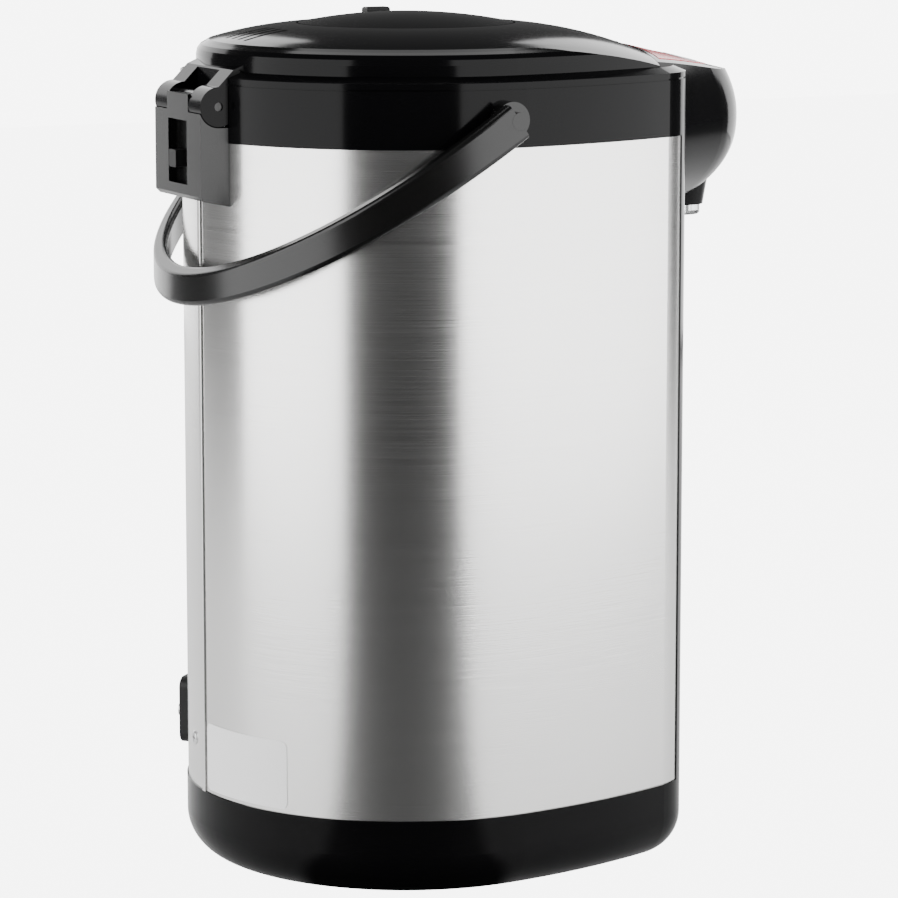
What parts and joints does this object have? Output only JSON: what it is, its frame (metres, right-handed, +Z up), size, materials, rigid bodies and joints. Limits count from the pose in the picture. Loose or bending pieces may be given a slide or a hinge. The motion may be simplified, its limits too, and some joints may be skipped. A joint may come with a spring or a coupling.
{
  "type": "electric thermo pot",
  "caption": "Tall electric hot-water pot with a steel jacket, domed pump lid, spout nose with control panel and a bail handle.",
  "frame": {"origin": "on the table, under the centre of the rear circle of the jacket", "axes": "+Z up, -Y towards the spout, -X the pot's right flank"},
  "size_m": [0.2356, 0.2858, 0.3962],
  "materials": {
    "gloss_black": "gloss",
    "matte_black": "matte",
    "brushed_steel": "horizontal brushing",
    "steel": "plain",
    "rubber": "matte",
    "silicone": "matte",
    "label_white": "satin film",
    "clear": "clear",
    "panel_red": "gloss film",
    "button_grey": "satin",
    "heater": "cast",
    "board": "board",
    "inner_plastic": "moulded",
    "motor": "plated",
    "brass": "plated"
  },
  "bodies": {
    "housing": {"base_shell": "gloss_black", "bottom_cover": "matte_black", "rubber_feet": "rubber", "base_screws": "steel", "outer_jacket": "brushed_steel", "mains_inlet": "gloss_black", "inlet_pins": "brass", "inlet_screws": "steel", "chassis_plate": "matte_black", "rating_plate": "label_white", "inner_vessel": "steel", "heater_plate": "heater", "keep_warm_band": "heater", "boil_thermostat": "inner_plastic", "thermal_fuse": "inner_plastic", "vessel_support": "inner_plastic", "vessel_straps": "steel", "power_board": "board", "pump_motor": "motor", "pump_chamber": "inner_plastic", "suction_hose": "silicone", "riser_tube": "silicone", "front_panel": "gloss_black", "level_window": "clear", "level_tube": "clear", "level_tube_holder": "inner_plastic", "spout_nozzle": "gloss_black", "spout_tip": "clear", "control_panel": "panel_red", "control_board": "board", "hinge_housing": "gloss_black", "hinge_pin": "steel", "handle_pivots": "gloss_black", "upper_shell": "gloss_black"},
    "lid": {"lid_cover": "gloss_black", "inner_lid": "inner_plastic", "lid_screws": "steel", "lid_gasket": "silicone", "steam_duct": "inner_plastic", "air_valve": "silicone", "bellows": "silicone", "return_spring": "steel"},
    "pump_plate": {"pump_plate": "gloss_black"},
    "pump_lock": {"pump_lock": "matte_black"},
    "latch_lever": {"latch_lever": "gloss_black"},
    "handle": {"handle": "gloss_black"},
    "dispense_button": {"dispense_button": "button_grey"},
    "reboil_button": {"reboil_button": "button_grey"},
    "impeller": {"impeller": "inner_plastic"},
    "hinge_release": {"hinge_release": "matte_black"}
  },
  "joints": [
    {"name": "lid_hinge", "type": "hinge", "parent": "housing", "child": "lid", "pos_m": [0, 0.1055, 0.357], "axis": [-1, 0, 0], "range_deg": [0, 85]},
    {"name": "pump_press", "type": "slide", "parent": "lid", "child": "pump_plate", "axis": [0, 0, -1], "range_m": [0, 0.022], "stiffness_N_per_m": 400, "springref_m": -0.01, "deforming": ["bellows", "return_spring"]},
    {"name": "pump_lock_slide", "type": "slide", "parent": "pump_plate", "child": "pump_lock", "axis": [1, 0, 0], "range_m": [0, 0.004]},
    {"name": "latch_lift", "type": "hinge", "parent": "lid", "child": "latch_lever", "pos_m": [0, -0.069, 0.3839], "axis": [-1, 0, 0], "range_deg": [0, 12], "stiffness_Nm_per_rad": 0.05, "springref_deg": -8.59},
    {"name": "handle_swing", "type": "hinge", "parent": "housing", "child": "handle", "pos_m": [0, 0, 0.3533], "axis": [1, 0, 0], "range_deg": [0, 150]},
    {"name": "dispense_press", "type": "slide", "parent": "housing", "child": "dispense_button", "axis": [0, 0, -1], "range_m": [0, 0.0012], "stiffness_N_per_m": 400, "springref_m": -0.001},
    {"name": "reboil_press", "type": "slide", "parent": "housing", "child": "reboil_button", "axis": [0, 0, -1], "range_m": [0, 0.0012], "stiffness_N_per_m": 400, "springref_m": -0.001},
    {"name": "impeller_spin", "type": "hinge", "parent": "housing", "child": "impeller", "pos_m": [0.004, -0.034, 0.03], "axis": [0, 0, 1], "continuous": true},
    {"name": "hinge_release_slide", "type": "slide", "parent": "housing", "child": "hinge_release", "axis": [0, 0, 1], "range_m": [0, 0.003], "stiffness_N_per_m": 300, "springref_m": -0.001}
  ]
}
